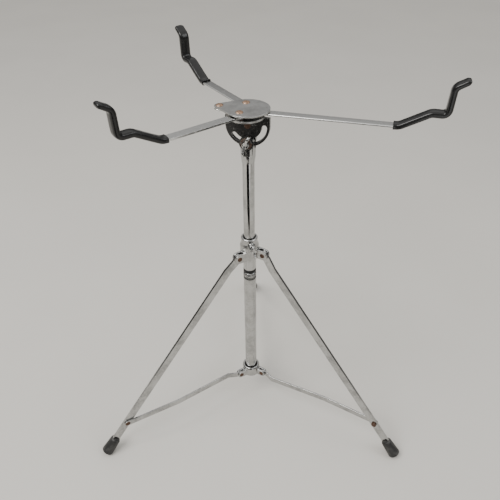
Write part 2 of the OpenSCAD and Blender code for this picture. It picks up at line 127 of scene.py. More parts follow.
class StandStage(PropertyGroup):
    """Camera and light."""

    lens: FloatProperty(name="Lens", description="Focal length in millimetres", default=37.3, min=10.0)
    distance: FloatProperty(name="Camera distance", description="Distance from the column, along the floor",
                            default=0.5971, unit="LENGTH")
    height: FloatProperty(name="Camera height", description="Height above the floor",
                          default=0.7815, unit="LENGTH")
    bearing: FloatProperty(name="Camera bearing", description="Turn of the camera round the column",
                           default=math.radians(1.9), subtype="ANGLE")
    aim: FloatProperty(name="Sideways aim", description="Turn of the camera away from the column",
                       default=math.radians(0.067), subtype="ANGLE")
    pitch: FloatProperty(name="Camera pitch", description="How far the camera looks down",
                         default=math.radians(37.934), subtype="ANGLE")
    roll: FloatProperty(name="Camera roll", description="Turn of the camera about its own axis",
                        default=math.radians(-0.745), subtype="ANGLE")
    key_power: FloatProperty(name="Key light", description="Power of the large soft light in watts",
                             default=60.0)
    fill_power: FloatProperty(name="Fill light", description="Power of the fill light in watts",
                              default=12.0)
    sky: FloatProperty(name="Sky", description="Strength of the light from all round", default=1.05)


def sizes():
    return bpy.context.scene.stand_sizes


def colours():
    return bpy.context.scene.stand_colours


def stage_settings():
    return bpy.context.scene.stand_stage


# ---------------------------------------------------------------- node trees and finishes


class Value:
    """A node socket that can be used in ordinary arithmetic."""

    def __init__(self, owner, socket):
        self.owner = owner
        self.socket = socket

    def __add__(self, other):
        return self.owner.math("ADD", self, other)

    def __sub__(self, other):
        return self.owner.math("SUBTRACT", self, other)

    def __mul__(self, other):
        return self.owner.math("MULTIPLY", self, other)

    def __truediv__(self, other):
        return self.owner.math("DIVIDE", self, other)

    def __radd__(self, other):
        return self.owner.math("ADD", other, self)

    def __rsub__(self, other):
        return self.owner.math("SUBTRACT", other, self)

    def __rmul__(self, other):
        return self.owner.math("MULTIPLY", other, self)

    def __rtruediv__(self, other):
        return self.owner.math("DIVIDE", other, self)

    def step(self, low, high):
        """0 below low, 1 above high, smooth in between."""
        return self.owner.out("ShaderNodeMapRange", {"interpolation_type": "SMOOTHSTEP"}, self, low, high)


class Nodes:
    """A node tree under construction."""

    def __init__(self, tree):
        self.tree = tree

    def node(self, kind, settings=None, *values, **named):
        """Adds a node: its settings first, then its sockets in order or by name."""
        node = self.tree.nodes.new(kind)
        for key, value in (settings or {}).items():
            setattr(node, key, value)
        for socket, value in zip(node.inputs, values):
            self.feed(socket, value)
        for key, value in named.items():
            self.feed(node.inputs[key.replace("_", " ")], value)
        return node

    def out(self, kind, settings=None, *values, **named):
        """Adds a node and gives its first output."""
        return Value(self, self.node(kind, settings, *values, **named).outputs[0])

    def math(self, operation, *operands):
        return self.out("ShaderNodeMath", {"operation": operation}, *operands)

    def feed(self, socket, value):
        """Links a socket to another one, or sets its value. None leaves it alone."""
        if isinstance(value, Value):
            value = value.socket
        if isinstance(value, bpy.types.NodeSocket):
            self.tree.links.new(value, socket)
        elif value is not None:
            if socket.type == "RGBA" and len(value) == 3:
                value = (*value, 1.0)
            socket.default_value = value


class Finish(Nodes):
    """A material under construction."""

    def __init__(self, name):
        self.material = bpy.data.materials.new(name)
        self.material.use_nodes = True
        super().__init__(self.material.node_tree)
        self.tree.nodes.clear()
        self.output = self.node("ShaderNodeOutputMaterial")
        self.place = self.node("ShaderNodeTexCoord").outputs["Object"]

    def stretched(self, x, y, z):
        """Object coordinates scaled along each axis."""
        return self.out("ShaderNodeVectorMath", {"operation": "MULTIPLY"}, self.place, (x, y, z))

    def noise(self, scale, detail=2.0, rough=0.5, where=None):
        node = self.node("ShaderNodeTexNoise", {}, Vector=where or self.place, Scale=scale, Detail=detail,
                         Roughness=rough)
        return Value(self, node.outputs["Fac"])

    def attribute(self, name):
        node = self.node("ShaderNodeAttribute", {"attribute_name": name})
        return Value(self, node.outputs["Fac"])

    def mix(self, factor, low, high):
        """A colour between low and high."""
        node = self.node("ShaderNodeMix", {"data_type": "RGBA", "clamp_factor": True})
        self.feed(node.inputs[0], factor)
        self.feed(node.inputs[6], low)
        self.feed(node.inputs[7], high)
        return node.outputs[2]

    def bump(self, height, strength, distance):
        return self.out("ShaderNodeBump", {}, Strength=strength, Distance=distance, Height=height)

    def surface(self, colour, metallic, roughness, normal=None, **constants):
        shader = self.out("ShaderNodeBsdfPrincipled", {}, Base_Color=colour, Metallic=metallic,
                          Roughness=roughness, Normal=normal, **constants)
        self.feed(self.output.inputs["Surface"], shader)
        return self.material


FINISHES = {}


def finish(name, maker, **details):
    """Makes a finish once, then hands out the same one."""
    if name not in FINISHES:
        FINISHES[name] = maker(name, **details)
    return FINISHES[name]


def chrome_finish(name, haze, rust_amount, grain, dull=0.5, gain=1.0):
    """Old plating: hazy patches, fine scratches along the grain, rust freckles."""
    c = colours()
    f = Finish(name)
    cloud = f.noise(45.0, 3.0)
    film = f.noise(260.0, 4.0, 0.6)
    scratch = f.noise(1.0, 2.0, 0.5, f.stretched(*grain)).step(0.52, 0.78)
    freckle = f.noise(620.0, 3.0, 0.65) + (f.noise(70.0, 2.0) - 0.5) * 0.9
    rust = freckle.step(1.02 - rust_amount, 1.10 - rust_amount)
    worn = (cloud * 0.7 + film * 0.5).step(0.45, 0.8)
    # gain scales the plating's tone; on the arms' copy it raises the tone as a painted sheen.
    plating = f.mix(worn * dull, tuple(v * gain for v in c.chrome), tuple(v * gain for v in c.chrome_dull))
    colour = f.mix(rust, plating, tuple(c.rust))
    roughness = haze + worn * 0.10 + scratch * 0.12 + rust * 0.45
    height = film * 0.25 + scratch * 0.35 - rust * 0.9
    return f.surface(colour, 1.0 - rust * 0.75, roughness, f.bump(height, 0.25, 0.00008))


def plate_finish(name):
    """Satin plated steel with crossed wear marks and small dark freckles."""
    c = colours()
    f = Finish(name)
    cloud = f.noise(60.0, 3.0)
    brushed = f.noise(1.0, 3.0, 0.6, f.stretched(2600.0, 260.0, 400.0))
    crossed = f.noise(1.0, 2.0, 0.5, f.stretched(300.0, 2200.0, 400.0)).step(0.6, 0.8)
    freckle = (f.noise(700.0, 3.0, 0.6) + (cloud - 0.5) * 0.5).step(0.74, 0.8)
    plating = f.mix((cloud * 0.8 + brushed * 0.4).step(0.35, 0.85), tuple(c.chrome), tuple(c.chrome_dull))
    colour = f.mix(freckle * 0.7, plating, tuple(c.rust))
    roughness = 0.26 + cloud * 0.14 + brushed * 0.08 + crossed * 0.08
    height = brushed * 0.4 + crossed * 0.3 - freckle * 0.6
    return f.surface(colour, 1.0 - freckle * 0.5, roughness, f.bump(height, 0.22, 0.00008))


def rusty_finish(name, bare=0.0):
    """Steel that has mostly rusted, with some metal still showing."""
    c = colours()
    f = Finish(name)
    patch = f.noise(330.0, 4.0, 0.65)
    grit = f.noise(1800.0, 3.0, 0.6)
    metal = (patch + (grit - 0.5) * 0.3).step(0.62 - bare, 0.74 - bare)
    pale = tuple(min(1.0, v * 1.7) for v in c.rust)
    scale = f.mix(grit.step(0.3, 0.7), tuple(v * 0.35 for v in c.rust), pale)
    colour = f.mix(metal, scale, tuple(v * 0.8 for v in c.chrome_dull))
    height = grit * 0.5 + patch * 0.6
    return f.surface(colour, 0.25 + metal * 0.7, 0.72 - metal * 0.4, f.bump(height, 0.5, 0.00015))


def copper_finish(name):
    """Tarnished copper heads with dull plating left in places."""
    c = colours()
    f = Finish(name)
    tarnish = f.noise(420.0, 4.0, 0.6)
    dent = f.noise(900.0, 2.0)
    plated = (tarnish + (dent - 0.5) * 0.4).step(0.55, 0.68)
    metal = f.mix(tarnish.step(0.3, 0.6), tuple(v * 0.45 for v in c.copper), tuple(c.copper))
    colour = f.mix(plated * 0.7, metal, tuple(c.chrome_dull))
    return f.surface(colour, 0.92, 0.30 + dent * 0.25, f.bump(dent * 0.6 + tarnish * 0.4, 0.35, 0.0002))


def vinyl_finish(name):
    """Thick glossy dipped vinyl, slightly wavy, with faint dusty scuffs."""
    c = colours()
    f = Finish(name)
    wave = f.noise(95.0, 2.0)
    pimple = f.noise(1300.0, 2.0)
    scuff = (f.noise(150.0, 5.0, 0.7) + f.attribute("wear") * 0.12).step(0.58, 0.8)
    colour = f.mix(scuff * 0.5, tuple(c.vinyl), (0.032, 0.031, 0.030))
    roughness = 0.17 + wave * 0.08 + scuff * 0.22
    return f.surface(colour, 0.0, roughness, f.bump(wave * 0.9 + pimple * 0.08, 0.35, 0.0006),
                     Coat_Weight=0.12, Coat_Roughness=0.08, Specular_IOR_Level=0.38)


def rubber_finish(name):
    """Moulded rubber with a dusty bloom."""
    c = colours()
    f = Finish(name)
    bloom = (f.noise(110.0, 4.0, 0.6) + f.attribute("wear") * 0.2).step(0.45, 0.85)
    skin = f.noise(1500.0, 3.0, 0.6)
    colour = f.mix(bloom * 0.7, tuple(c.rubber), (0.10, 0.098, 0.093))
    return f.surface(colour, 0.0, 0.42 + bloom * 0.25, f.bump(skin, 0.3, 0.0001), Specular_IOR_Level=0.45)


def paint_finish(name):
    """Smooth black finish with the edges rubbed through to bright metal."""
    c = colours()
    f = Finish(name)
    streak = f.noise(1.0, 3.0, 0.6, f.stretched(500.0, 500.0, 60.0))
    cloud = f.noise(90.0, 3.0)
    rubbed = (f.attribute("wear") * 1.1 + (f.noise(420.0, 4.0, 0.7) - 0.55) * 1.6).step(0.62, 0.95)
    colour = f.mix(rubbed, f.mix(cloud, tuple(c.paint), (0.035, 0.034, 0.033)), tuple(c.chrome_dull))
    roughness = 0.20 + streak * 0.16 + rubbed * 0.12
    skin = f.bump(streak * 0.4 + cloud * 0.4, 0.25, 0.0002)
    return f.surface(colour, 0.35 + rubbed * 0.6, roughness, skin, Coat_Weight=0.3, Coat_Roughness=0.12)


def knurl_finish(name):
    """Knurled band whose tooth flats are painted near black as painted shade, with plain chrome showing in
    the grooves between them.
    """
    c = colours()
    f = Finish(name)
    grime = f.noise(300.0, 4.0, 0.6)
    # Painted shade: where the tooth mark is high, on the tooth flats and the collar, the colour goes near
    # black.
    painted_tooth_shade = (f.attribute("tooth") + (grime - 0.5) * 0.5).step(0.3, 0.6)
    colour = f.mix(painted_tooth_shade, tuple(c.chrome), (0.014, 0.014, 0.014))
    return f.surface(colour, 0.95 - painted_tooth_shade * 0.5, 0.24 + painted_tooth_shade * 0.2, f.bump(grime, 0.3, 0.0001))


def bush_finish(name):
    """Grey moulded plastic with grime."""
    f = Finish(name)
    grime = f.noise(200.0, 4.0, 0.6).step(0.35, 0.7)
    grain = f.noise(1400.0, 2.0)
    return f.surface(f.mix(grime, (0.10, 0.10, 0.095), (0.02, 0.02, 0.02)), 0.0, 0.55 + grime * 0.2,
                     f.bump(grain, 0.2, 0.0001))


def floor_finish(name):
    """Plain pale floor with only the faintest unevenness."""
    c = colours()
    f = Finish(name)
    mottle = f.noise(3.0, 3.0)
    tone = tuple(c.floor)
    pale = tuple(min(1.0, v * 1.015) for v in tone)
    colour = f.mix(mottle.step(0.3, 0.7), tuple(v * 0.985 for v in tone), pale)
    return f.surface(colour, 0.0, 0.62 + mottle * 0.05, f.bump(f.noise(300.0, 2.0), 0.05, 0.0002))


# ---------------------------------------------------------------- mesh helpers


def new_piece(name, mesh, material, body, slot, *nodes):
    """Links a finished mesh as a piece that rides on a body and stands for CAD nodes."""
    mesh.materials.clear()
    mesh.materials.append(material)
    piece = bpy.data.objects.new(name, mesh)
    bpy.context.scene.collection.objects.link(piece)
    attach(piece, body)
    if nodes:
        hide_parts(*nodes)


def filed(name, node, material, body, slot, edge, segments=2):
    """A piece that is one CAD node with its edges broken."""
    new_piece(name, worked_mesh(node, edge, segments), material, body, slot, node)


def baked(obj):
    """A plain mesh of an object with its modifiers applied. The object is removed."""
    graph = bpy.context.evaluated_depsgraph_get()
    graph.update()
    mesh = bpy.data.meshes.new_from_object(obj.evaluated_get(graph), preserve_all_data_layers=True,
                                           depsgraph=graph)
    bpy.data.objects.remove(obj)
    return mesh


def merged_copy(node):
    """A copy of a CAD node's mesh with its loose triangles joined up."""
    source = frame["nodes"][node].data
    mesh = bpy.data.meshes.new(node + "_copy")
    bm = bmesh.new()
    bm.from_mesh(source)
    bmesh.ops.remove_doubles(bm, verts=bm.verts, dist=1e-6)
    bmesh.ops.dissolve_limit(bm, angle_limit=math.radians(0.8), verts=bm.verts, edges=bm.edges)
    for face in bm.faces:
        face.smooth = True
    bm.to_mesh(mesh)
    bm.free()
    mesh.materials.clear()
    obj = bpy.data.objects.new(node + "_work", mesh)
    bpy.context.scene.collection.objects.link(obj)
    return obj


def mark_wear(mesh, sharp=math.radians(28.0)):
    """Stores how sharply the surface turns at each vertex, for rubbed edges."""
    bm = bmesh.new()
    bm.from_mesh(mesh)
    layer = bm.verts.layers.float.new("wear")
    for vert in bm.verts:
        turn = max((edge.calc_face_angle(0.0) for edge in vert.link_edges), default=0.0)
        vert[layer] = min(1.0, turn / sharp)
    bm.to_mesh(mesh)
    bm.free()


def worked_mesh(node, edge, segments=2):
    """The node's shape with its edges broken, as a filed or tumbled part has them."""
    obj = merged_copy(node)
    bevel = obj.modifiers.new("edges", "BEVEL")
    bevel.width = edge
    bevel.segments = segments
    bevel.limit_method = "ANGLE"
    bevel.angle_limit = math.radians(32.0)
    bevel.use_clamp_overlap = True
    obj.modifiers.new("normals", "WEIGHTED_NORMAL").keep_sharp = False
    mesh = baked(obj)
    mark_wear(mesh)
    return mesh


def cast_mesh(node, grain, passes, shape=None):
    """The node's shape with soft fillets, as a die casting has them."""
    obj = merged_copy(node)
    if shape:
        for vert in obj.data.vertices:
            vert.co = shape(vert.co.copy())
    remesh = obj.modifiers.new("skin", "REMESH")
    remesh.mode = "VOXEL"
    remesh.voxel_size = grain
    remesh.use_smooth_shade = True
    soften = obj.modifiers.new("soften", "SMOOTH")
    soften.factor = 0.5
    soften.iterations = passes
    mesh = baked(obj)
    for face in mesh.polygons:
        face.use_smooth = True
    mark_wear(mesh, math.radians(14.0))
    return mesh


def surface_mesh(name, rings):
    """A tube of quads through rings of points, with its ends closed by fans."""
    mesh = bpy.data.meshes.new(name)
    bm = bmesh.new()
    rows = [[bm.verts.new(point) for point in ring] for ring in rings]
    count = len(rows[0])
    for low, high in zip(rows, rows[1:]):
        for i in range(count):
            j = (i + 1) % count
            bm.faces.new((low[i], low[j], high[j], high[i]))
    for row in (rows[0], rows[-1]):
        centre = bm.verts.new(sum((v.co for v in row), Vector()) / count)
        for i in range(count):
            bm.faces.new((row[i], row[(i + 1) % count], centre))
    bmesh.ops.recalc_face_normals(bm, faces=bm.faces)
    for face in bm.faces:
        face.smooth = True
    bm.to_mesh(mesh)
    bm.free()
    return mesh


def subdivided(mesh):
    obj = bpy.data.objects.new("smooth_work", mesh)
    bpy.context.scene.collection.objects.link(obj)
    surf = obj.modifiers.new("surface", "SUBSURF")
    surf.levels = surf.render_levels = 1
    return baked(obj)


# ---------------------------------------------------------------- sleeves


def rounded_line(corners, radii, steps=8):
    """Points along a path whose inner corners are rounded."""
    points = [Vector(corners[0])]
    for before, here, after, radius in zip(corners, corners[1:], corners[2:], radii):
        before, here, after = Vector(before), Vector(here), Vector(after)
        u, v = (before - here).normalized(), (after - here).normalized()
        half = math.acos(max(-1.0, min(1.0, u.dot(v)))) / 2
        reach = radius / math.tan(half)
        centre = here + (u + v).normalized() * radius / math.sin(half)
        start, end = here + u * reach - centre, here + v * reach - centre
        turn = math.atan2(start.x * end.y - start.y * end.x, start.dot(end))
        for i in range(steps + 1):
            points.append(centre + Matrix.Rotation(turn * i / steps, 2) @ start)
    points.append(Vector(corners[-1]))
    return points


def even_line(points, spacing):
    """The same path with evenly spaced points, and the distance of each from the start."""
    total = [0.0]
    for a, b in zip(points, points[1:]):
        total.append(total[-1] + (b - a).length)
    count = max(2, round(total[-1] / spacing))
    out, k = [], 0
    for i in range(count + 1):
        s = total[-1] * i / count
        while k < len(total) - 2 and total[k + 1] < s:
            k += 1
        t = (s - total[k]) / (total[k + 1] - total[k])
        out.append((s, points[k].lerp(points[k + 1], t)))
    return out


def rounded_section(width, thickness, power, count=28):
    """A rounded rectangle as a superellipse: (across, up) pairs."""
    ring = []
    for i in range(count):
        a = 2 * math.pi * i / count
        c, s = math.cos(a), math.sin(a)
        ring.append((width / 2 * math.copysign(abs(c) ** (2 / power), c),
                     thickness / 2 * math.copysign(abs(s) ** (2 / power), s)))
    return ring


# Millimetres above the arms' middle plane, and that plane above the floor
SEAT_RISE, UPRIGHT_TOP, TIP_RISE = 17.9, 48.6, 55.8
ARM_LEVEL = 528.85
# Millimetres from the column's axis, or a swing pivot, to the inner face of the upright
FIXED_REACH, SWING_REACH = 224.5, 151.5
# Degrees between a swinging arm and straight back
LEFT_SWING, REAR_SWING = 51, 42
# The bends of a sleeve: distance along it and spread in millimetres, and the side that is inside
SLEEVE_BENDS = ((7.5, 4.5, 1), (44.5, 5.0, -1), (66.0, 7.0, 1), (100.0, 6.0, -1))


def sleeve_line(reach):
    """Middle line of a sleeve, along the arm and up, from its inner end to its tip, in millimetres."""
    x = reach + 3.45
    return rounded_line([(reach - 53, 0), (reach - 46.5, 0), (reach - 14, SEAT_RISE + 0.3), (x, SEAT_RISE),
                         (x + 0.9, UPRIGHT_TOP), (x + 12.6, TIP_RISE)], (15, 11, 6.5, 8))


def sleeve_mesh(name, reach, pivot, bearing, seed, crease):
    """A thick soft sleeve: open mouth, rippled bends, rounded tip."""
    s = sizes()
    width, thick = s.sleeve_width / MM, s.sleeve_thickness / MM
    line = even_line(sleeve_line(reach), 1.1)
    length = line[-1][0]
    along = Vector((math.cos(bearing), math.sin(bearing), 0.0))
    across = Vector((-math.sin(bearing), math.cos(bearing), 0.0))
    up = Vector((0.0, 0.0, 1.0))

    def ring(point, normal, w, t, power, distance, soft):
        points = []
        for y, z in rounded_section(w, t, power):
            if soft:
                place = Vector((distance * 0.09, y * 0.12, z * 0.2 + seed))
                swell = 0.14 * noise.noise(place) + 0.05 * noise.noise(place * 4.0)
                for bend, spread, side in SLEEVE_BENDS:
                    near = math.exp(-(((distance - bend) / spread) ** 2))
                    inside = max(0.0, side * z / (t / 2))
                    swell += 0.16 * near * inside * math.sin(distance * 2.6 + y * 0.15)
                if crease and z > 0 and 5 < distance < 42:
                    swell -= 0.5 * math.exp(-(((y - crease) / 0.55) ** 2))
                y += math.copysign(swell * 0.4, y) if abs(y) > 0.1 else 0.0
                z += swell if z > 0 else -swell
            flat = point + normal * z
            points.append((pivot + along * flat.x + across * y + up * (ARM_LEVEL + flat.y)) * MM)
        return points

    start, ahead = line[0][1], (line[1][1] - line[0][1]).normalized()
    side = Vector((-ahead.y, ahead.x))
    rings = [
        ring(start + ahead * 5.0, side, width - 1.0, 2.9, 9, 0, False),
        ring(start + ahead * 0.5, side, width - 0.9, 3.3, 7, 0, False),
        ring(start, side, width - 0.5, thick - 1.9, 4, 0, False),
    ]
    for i, (distance, point) in enumerate(line):
        a = line[max(i - 1, 0)][1]
        b = line[min(i + 1, len(line) - 1)][1]
        ahead = (b - a).normalized()
        side = Vector((-ahead.y, ahead.x))
        rim = math.exp(-((distance / 1.5) ** 2))
        groove = math.exp(-(((distance - 4.0) / 2.5) ** 2))
        lip = 1.0 + 0.035 * rim - 0.02 * groove
        shrink = 1.0 - 0.13 * max(0.0, min(1.0, (distance - length + 18.0) / 14.0))
        if distance == 0:
            point = point + ahead * 0.35
        wide = width * lip * shrink ** 0.4
        rings.append(ring(point, side, wide, thick * lip * shrink, 3.2, distance, True))
    end, ahead = line[-1][1], (line[-1][1] - line[-2][1]).normalized()
    side = Vector((-ahead.y, ahead.x))
    thick *= 0.87
    for a in (25, 45, 62, 76, 86):
        k = math.cos(math.radians(a))
        forward = math.sin(math.radians(a)) * thick / 2
        wide = (width * 0.95 - thick) + thick * k
        rings.append(ring(end + ahead * forward, side, wide, thick * k, 2.5, length, False))
    mesh = subdivided(surface_mesh(name, rings))
    mark_wear(mesh, math.radians(30.0))
    return mesh


def swing_pivot(joint):
    place = Vector(JOINTS[joint]["pos_m"]) / MM
    return Vector((place.x, place.y, 0.0))


# ---------------------------------------------------------------- repeated pieces by node trees


# Height at which a rivet's dome is cut flat, for a dome of height 1
FLAT_TOP = 0.86
# Height of a knurl tooth, for a tooth of width 1, and the share of the band that is smooth collar
TOOTH_DEPTH, COLLAR_SHARE = 0.3, 0.36


class Tree(Nodes):
    """A geometry node tree under construction, with named inputs."""

    def __init__(self, name):
        super().__init__(bpy.data.node_groups.new(name, "GeometryNodeTree"))
        for way in ("INPUT", "OUTPUT"):
            self.tree.interface.new_socket("Geometry", in_out=way, socket_type="NodeSocketGeometry")
        self.inputs = self.node("NodeGroupInput")
        self.outputs = self.node("NodeGroupOutput")
        self.ids = {}

    def input(self, name, kind="Float"):
        item = self.tree.interface.new_socket(name, in_out="INPUT", socket_type="NodeSocket" + kind)
        self.ids[name] = item.identifier
        return Value(self, self.inputs.outputs[name])

    def vector(self, x, y, z):
        return self.out("ShaderNodeCombineXYZ", {}, x, y, z)

    def position(self):
        """Each point's x, y and z."""
        split = self.node("ShaderNodeSeparateXYZ", {}, self.out("GeometryNodeInputPosition"))
        return [Value(self, socket) for socket in split.outputs]

    def stored(self, name, kind="FLOAT"):
        return self.out("GeometryNodeInputNamedAttribute", {"data_type": kind}, Name=name)

    def store(self, geometry, name, value):
        return self.out("GeometryNodeStoreNamedAttribute", {"data_type": "FLOAT", "domain": "POINT"},
                        Geometry=geometry, Name=name, Value=value)

    def placed(self, geometry, **how):
        return self.out("GeometryNodeTransform", {}, Geometry=geometry, **how)

    def copies(self, points, thing, turn, **how):
        return self.out("GeometryNodeInstanceOnPoints", {}, Points=points, Instance=thing,
                        Rotation=turn, **how)

    def close(self, parts, material):
        """Joins the parts, gives them the material and ends the tree."""
        joined = self.node("GeometryNodeJoinGeometry")
        for part in parts:
            self.feed(joined.inputs[0], part)
        real = self.out("GeometryNodeRealizeInstances", {}, Geometry=joined.outputs[0])
        smooth = self.out("GeometryNodeSetShadeSmooth", {}, Geometry=real)
        dressed = self.out("GeometryNodeSetMaterial", {}, Geometry=smooth, Material=material)
        self.feed(self.outputs.inputs[0], dressed)

    def mesh(self, base, **values):
        """Runs the tree on a mesh and returns the plain result."""
        obj = bpy.data.objects.new(base.name + "_work", base)
        bpy.context.scene.collection.objects.link(obj)
        modifier = obj.modifiers.new("build", "NODES")
        modifier.node_group = self.tree
        for name, value in values.items():
            modifier[self.ids[name.replace("_", " ")]] = value
        return baked(obj)


def rivet_tree():
    """Shank and two domed heads on every point; each point carries its axis and grip."""
    t = Tree("rivets")
    head, dome = t.input("Head Radius"), t.input("Head Height")
    shank, tail = t.input("Shank Radius"), t.input("Tail Radius")
    material = t.input("Material", "Material")
    points = t.inputs.outputs["Geometry"]
    axis, grip = t.stored("axis", "FLOAT_VECTOR"), t.stored("grip")
    turn = t.out("FunctionNodeAlignRotationToVector", {"axis": "Z"}, Vector=axis)
    ball = t.out("GeometryNodeMeshUVSphere", {}, Segments=32, Rings=14, Radius=1.0)
    x, y, z = t.position()
    ball = t.out("GeometryNodeSetPosition", {}, Geometry=ball,
                 Position=t.vector(x, y, t.math("MINIMUM", z, FLAT_TOP)))
    rod = t.out("GeometryNodeMeshCylinder", {}, Vertices=24, Radius=1.0, Depth=1.0)
    rod = t.placed(rod, Translation=(0.0, 0.0, 0.5))
    shanks = t.copies(points, rod, turn, Scale=t.vector(shank, shank, grip))
    tails = t.copies(points, t.placed(ball, Scale=t.vector(tail, tail, dome)), turn)
    lift = t.out("ShaderNodeVectorMath", {"operation": "SCALE"}, Vector=axis, Scale=grip)
    raised = t.out("GeometryNodeSetPosition", {}, Geometry=points, Offset=lift)
    heads = t.copies(raised, t.placed(ball, Scale=t.vector(head, head, dome)), turn)
    t.close((shanks, tails, heads), material)
    return t


def rivet_points(name, rivets):
    """Points for the rivet tree: (foot of the shank, axis, grip) for each rivet."""
    mesh = bpy.data.meshes.new(name)
    mesh.from_pydata([tuple(place) for place, _, _ in rivets], [], [])
    mesh.attributes.new("axis", "FLOAT_VECTOR", "POINT")
    mesh.attributes.new("grip", "FLOAT", "POINT")
    for i, (_, axis, grip) in enumerate(rivets):
        mesh.attributes["axis"].data[i].vector = axis
        mesh.attributes["grip"].data[i].value = grip
    return mesh


def knurl_tree():
    """Staggered rows of flat-topped teeth round a band, under a smooth collar."""
    t = Tree("knurl")
    radius, base, height = t.input("Radius"), t.input("Base"), t.input("Height")
    around, rows = t.input("Around", "Int"), t.input("Rows", "Int")
    tooth, collar = t.input("Tooth"), t.input("Collar")
    material = t.input("Material", "Material")
    sheet = t.out("GeometryNodeMeshGrid", {}, Size_X=(1.0 - 1.0 / around) * (2 * math.pi), Size_Y=height,
                  Vertices_X=around, Vertices_Y=rows)
    x, y, _ = t.position()
    row = t.math("ROUND", (y + height * 0.5) / (height / (rows - 1.0)))
    angle = x + t.math("MODULO", row, 2.0) * (math.pi / around)
    place = t.vector(t.math("COSINE", angle) * radius, t.math("SINE", angle) * radius,
                     y + height * 0.5 + base)
    bent = t.out("GeometryNodeSetPosition", {}, Geometry=t.store(sheet, "angle", angle), Position=place)
    turn = t.out("FunctionNodeEulerToRotation", {}, Euler=t.vector(0.0, math.pi / 2, t.stored("angle")))
    point = t.out("GeometryNodeMeshCone", {}, Vertices=4, Radius_Top=0.62, Radius_Bottom=0.86,
                  Depth=TOOTH_DEPTH)
    # The tooth mark is highest on each tooth's flat top, which the knurl finish paints near black as
    # painted shade.
    point = t.store(point, "tooth", t.position()[2] / TOOTH_DEPTH)
    point = t.placed(point, Scale=t.vector(tooth, tooth, tooth))
    parts = [t.copies(bent, point, turn)]
    # The ring under the teeth is marked 0 and stays plain chrome; the collar is marked 1 and is painted
    # near black like the tooth flats.
    for middle, depth, wide, tone in (
        (base + height * 0.5, height + tooth * 2.0, radius, 0.0),
        (base + height + (collar + tooth) * 0.5, collar - tooth, radius * 1.02, 1.0),
    ):
        ring = t.out("GeometryNodeMeshCylinder", {}, Vertices=72, Radius=wide, Depth=depth)
        ring = t.placed(ring, Translation=t.vector(0.0, 0.0, middle))
        parts.append(t.store(ring, "tooth", tone))
    t.close(parts, material)
    return t


# ---------------------------------------------------------------- pieces


STRIPS = [f"{side}_{part}" for side in LEG_SIDES for part in ("leg", "brace")]
ARMS = {"fixed_arm": "basket", "left_arm": "left_arm_body", "rear_arm": "rear_arm_body"}
UP = Vector((0.0, 0.0, 1.0))
EVEN_GRAIN = (420.0, 420.0, 420.0)
CAST_GRAIN = (500.0, 500.0, 500.0)

# Metres above the floor: the lower plate's underside, the tail spacer's underside, the top plate's face
LOW_FOOT, TAIL_FOOT, PLATE_TOP = 0.5228, 0.5276, 0.5333
# Place of the tail's rivet along the basket's own axis, in metres
TAIL_PLACE = -0.0355
RIVET_SHANK = 2.2 * MM
COPPER_TAIL = 4.2 * MM
STEEL_HEAD, STEEL_DOME = 3.6 * MM, 1.4 * MM
TILT_HEAD, TILT_FOOT, TILT_GRIP = 4.3 * MM, 2.5 * MM, 10.1 * MM

# The wings' lean from upright, and how they curl: where it starts, its scale, how far
WING_LEAN = math.radians(-17.0)
CURL_START, CURL_SCALE, CURL = 3.0 * MM, 12.0 * MM, -2.2 * MM


def build_tubes():
    tube = finish("tube_chrome", chrome_finish, haze=0.05, rust_amount=-0.04, grain=(900.0, 900.0, 22.0),
                  dull=0.7, gain=0.86)
    edge = sizes().tube_edge
    filed("column_tube", "lower_tube", tube, "column", "tube_chrome", edge)
    filed("mast_tube", "upper_tube", tube, "mast", "tube_chrome", edge)
    plug = finish("rubber", rubber_finish)
    filed("column_plug", "tube_end_plug", plug, "column", "rubber", 0.5 * MM, 3)
    bush = finish("bush_plastic", bush_finish)
    filed("column_bush", "split_bush", bush, "bush_body", "bush_plastic", 0.2 * MM)


def build_knurl():
    s = sizes()
    low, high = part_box("knurled_band")
    radius = high.x - 0.35 * MM
    tooth = math.pi * radius / s.knurl_around
    collar = (high.z - low.z) * COLLAR_SHARE
    knurl = finish("knurl", knurl_finish)
    mesh = knurl_tree().mesh(bpy.data.meshes.new("knurl_base"), Radius=radius, Base=low.z + tooth,
                             Height=high.z - low.z - 2 * tooth - collar, Around=s.knurl_around,
                             Rows=s.knurl_rows, Tooth=tooth, Collar=collar, Material=knurl)
    new_piece("grip_band", mesh, knurl, "column", "knurl", "knurled_band")


def cast_chrome():
    return finish("cast_chrome", chrome_finish, haze=0.09, rust_amount=0.02, grain=CAST_GRAIN, gain=0.8)


def build_castings():
    cast = cast_chrome()
    grain = sizes().casting_grain
    new_piece("top_collar", cast_mesh("upper_hub", grain, 6), cast, "column", "cast_chrome", "upper_hub")
    new_piece("sliding_collar", cast_mesh("sliding_hub", grain * 0.8, 5), cast, "brace_hub", "cast_chrome",
              "sliding_hub")
    filed("tilter_fork", "tilter_head", cast, "mast", "cast_chrome", 0.9 * MM, 4)


def build_strips():
    strip = finish("strip_chrome", chrome_finish, haze=0.09, rust_amount=-0.02, grain=EVEN_GRAIN,
                   dull=0.9, gain=0.86)
    edge = sizes().edge_round
    for name in STRIPS:
        filed(name + "_strip", name, strip, name + "_body", "strip_chrome", edge * 1.4, 3)
    # Painted sheen: the arms get a brighter copy of the strip chrome (gain 1.4, fewer dull patches) for the
    # bright floor their top faces reflect.
    bright = finish("arm_chrome", chrome_finish, haze=0.10, rust_amount=-0.02, grain=EVEN_GRAIN,
                    dull=0.25, gain=1.4)
    for name, body in ARMS.items():
        filed(name + "_strip", name, bright, body, "strip_chrome", edge * 2.7, 4)


def build_feet():
    rubber = finish("rubber", rubber_finish)
    for side in LEG_SIDES:
        filed(side + "_rubber_foot", side + "_foot", rubber, side + "_leg_body", "rubber", 0.8 * MM, 3)


